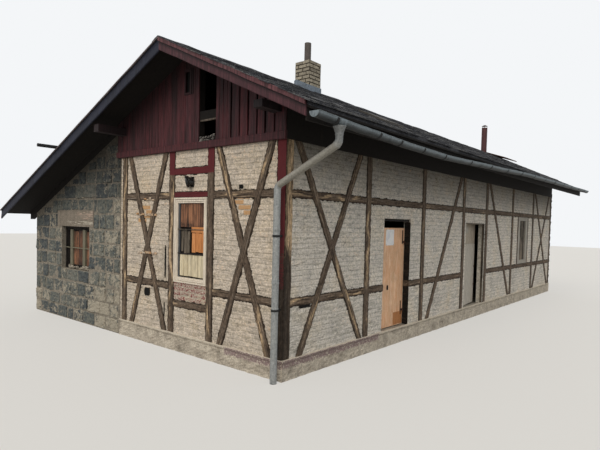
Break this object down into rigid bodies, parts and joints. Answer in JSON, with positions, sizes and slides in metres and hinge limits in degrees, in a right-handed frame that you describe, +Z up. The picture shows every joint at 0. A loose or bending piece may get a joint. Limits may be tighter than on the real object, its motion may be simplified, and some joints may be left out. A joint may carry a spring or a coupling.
{
  "type": "railway station building",
  "caption": "Small half-timbered railway station building with whitewashed brick infill, a stone lean-to under the long roof slope, a brick chimney and hinged doors.",
  "frame": {"origin": "middle of the outer box at the level of the lowest ground, under the building", "axes": "+Y runs along the building from the gable front (facing -Y) to the rear; +X faces the side with the two doors; +Z is up"},
  "size_m": [9.243, 15.58, 5.813],
  "materials": {
    "weathered_timber": "weathered grey-brown, rough sawn",
    "dark_timber": "dark stained, rough sawn",
    "whitewashed_brick": "brick under old limewash",
    "red_boards": "worn dark red paint",
    "slag_stone_blocks": "grey blocks in beige mortar",
    "concrete": "rough cast concrete",
    "roof_slate": "old slates and felt",
    "zinc": "dull weathered zinc",
    "rusty_steel": "rusty painted steel",
    "chimney_brick": "beige brick with dark joints",
    "plywood": "raw plywood",
    "painted_boards": "worn pale paint",
    "cream_joinery": "cream paint, worn",
    "skylight_glass": "dusty glass"
  },
  "bodies": {
    "root": {"barge_boards": "red_boards", "chimney": "chimney_brick", "chimney_flashing": "zinc", "chimney_pot": "rusty_steel", "door_head_rails": "weathered_timber", "door_hinge_pins": "rusty_steel", "downpipe": "zinc", "eaves_closing_board": "dark_timber", "eaves_fascia": "dark_timber", "front_boarding_left": "red_boards", "front_boarding_right": "red_boards", "front_frame": "weathered_timber", "front_infill": "whitewashed_brick", "front_window": "cream_joinery", "gutter": "zinc", "gutter_and_pipe_brackets": "zinc", "inner_posts": "weathered_timber", "lean_to_floor": "concrete", "left_purlin": "dark_timber", "loft_floor": "dark_timber", "loft_joists": "dark_timber", "loft_opening_frame": "dark_timber", "loose_roof_sheet": "rusty_steel", "metal_flue": "rusty_steel", "over_door_infill": "whitewashed_brick", "plinth": "concrete", "rafters_left": "dark_timber", "rafters_right": "dark_timber", "rear_boarding": "red_boards", "rear_frame": "weathered_timber", "rear_infill": "whitewashed_brick", "rear_window": "cream_joinery", "right_purlin": "dark_timber", "roof_boards_left": "dark_timber", "roof_boards_right": "dark_timber", "roof_covering_left": "roof_slate", "roof_covering_right": "roof_slate", "side_frame_far": "weathered_timber", "side_frame_middle": "weathered_timber", "side_frame_near": "weathered_timber", "side_infill_far": "whitewashed_brick", "side_infill_middle": "whitewashed_brick", "side_infill_near": "whitewashed_brick", "side_window": "cream_joinery", "sill_boards": "red_boards", "skylight": "skylight_glass", "stone_front_wall": "slag_stone_blocks", "stone_lintel": "concrete", "stone_rear_wall": "slag_stone_blocks", "stone_side_wall": "slag_stone_blocks", "stone_window": "cream_joinery", "verge_bar": "rusty_steel", "wall_lamp": "rusty_steel", "wall_plates": "dark_timber"},
    "door_1": {"door_1_leaf": "plywood", "door_1_straps": "rusty_steel"},
    "door_2": {"door_2_leaf": "painted_boards", "door_2_straps": "rusty_steel"}
  },
  "joints": [
    {"name": "door_1_hinge", "type": "hinge", "parent": "root", "child": "door_1", "pos_m": [3.4825, -3.257, 0.54], "axis": [0, 0, 1], "range_deg": [0, 90]},
    {"name": "door_2_hinge", "type": "hinge", "parent": "root", "child": "door_2", "pos_m": [3.4585, -0.483, 0.54], "axis": [0, 0, 1], "range_deg": [-6.5, 77.5]}
  ]
}
